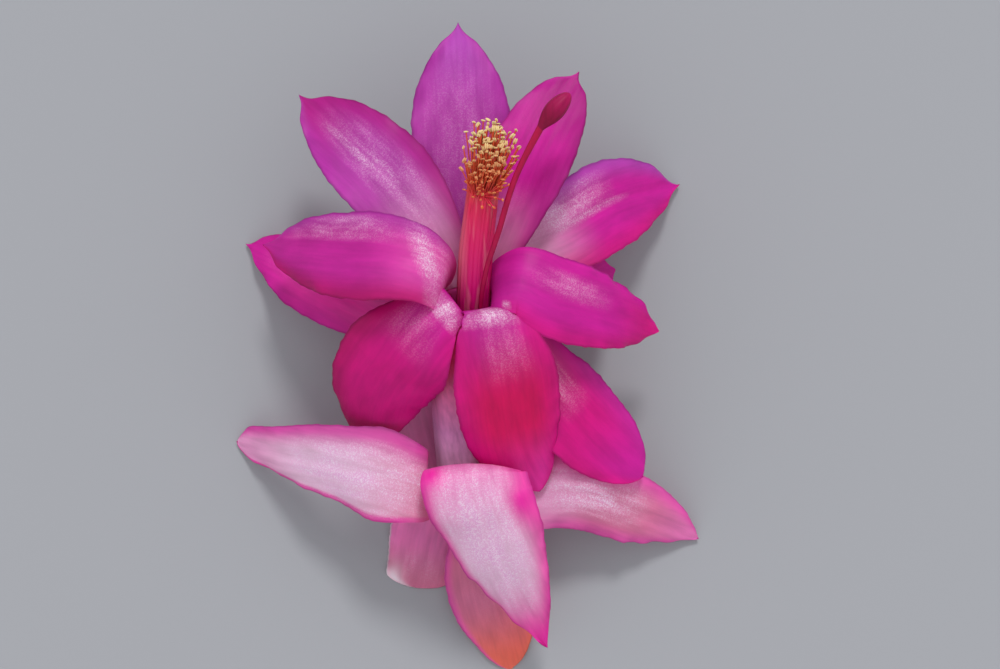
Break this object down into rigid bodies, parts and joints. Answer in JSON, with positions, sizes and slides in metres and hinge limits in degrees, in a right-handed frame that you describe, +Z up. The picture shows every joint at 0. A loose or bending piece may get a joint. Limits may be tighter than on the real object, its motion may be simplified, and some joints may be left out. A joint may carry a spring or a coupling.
{
  "type": "thanksgiving cactus flower",
  "caption": "Picked magenta bloom of a thanksgiving cactus, lying open: pointed tepals swept back round a floral tube, with projecting stamens and a long style.",
  "frame": {"origin": "on the surface that the bloom lies on, under the middle of its box", "axes": "+Z up from that surface, +Y the way the stamens point, +X to the right as the bloom is looked down on"},
  "size_m": [0.0578, 0.079, 0.0304],
  "materials": {
    "upper_tepal": "satin, translucent, magenta",
    "lower_tepal": "satin, translucent, pale pink with magenta margins",
    "floral_tube": "satin, translucent, pale magenta",
    "ovary": "satin, fleshy green",
    "stamens": "satin, salmon-pink filaments with pale yellow and ochre anthers",
    "pistil": "satin, crimson"
  },
  "bodies": {
    "root": {"floral_tube": "floral_tube", "ovary": "ovary", "stamens": "stamens", "pistil": "pistil", "upper_tepal_back": "upper_tepal", "upper_tepal_back_right": "upper_tepal", "upper_tepal_back_left": "upper_tepal", "upper_tepal_side_right": "upper_tepal", "upper_tepal_right": "upper_tepal", "upper_tepal_left": "upper_tepal", "upper_tepal_front_left": "upper_tepal", "upper_tepal_front_right": "upper_tepal", "middle_tepal_left": "upper_tepal", "middle_tepal_front_left": "upper_tepal", "middle_tepal_right": "upper_tepal", "middle_tepal_front_right": "upper_tepal", "lower_tepal_left": "lower_tepal", "lower_tepal_front": "lower_tepal", "lower_tepal_right": "lower_tepal", "lower_tepal_back_left": "lower_tepal", "lower_tepal_back": "lower_tepal"}
  },
  "joints": []
}
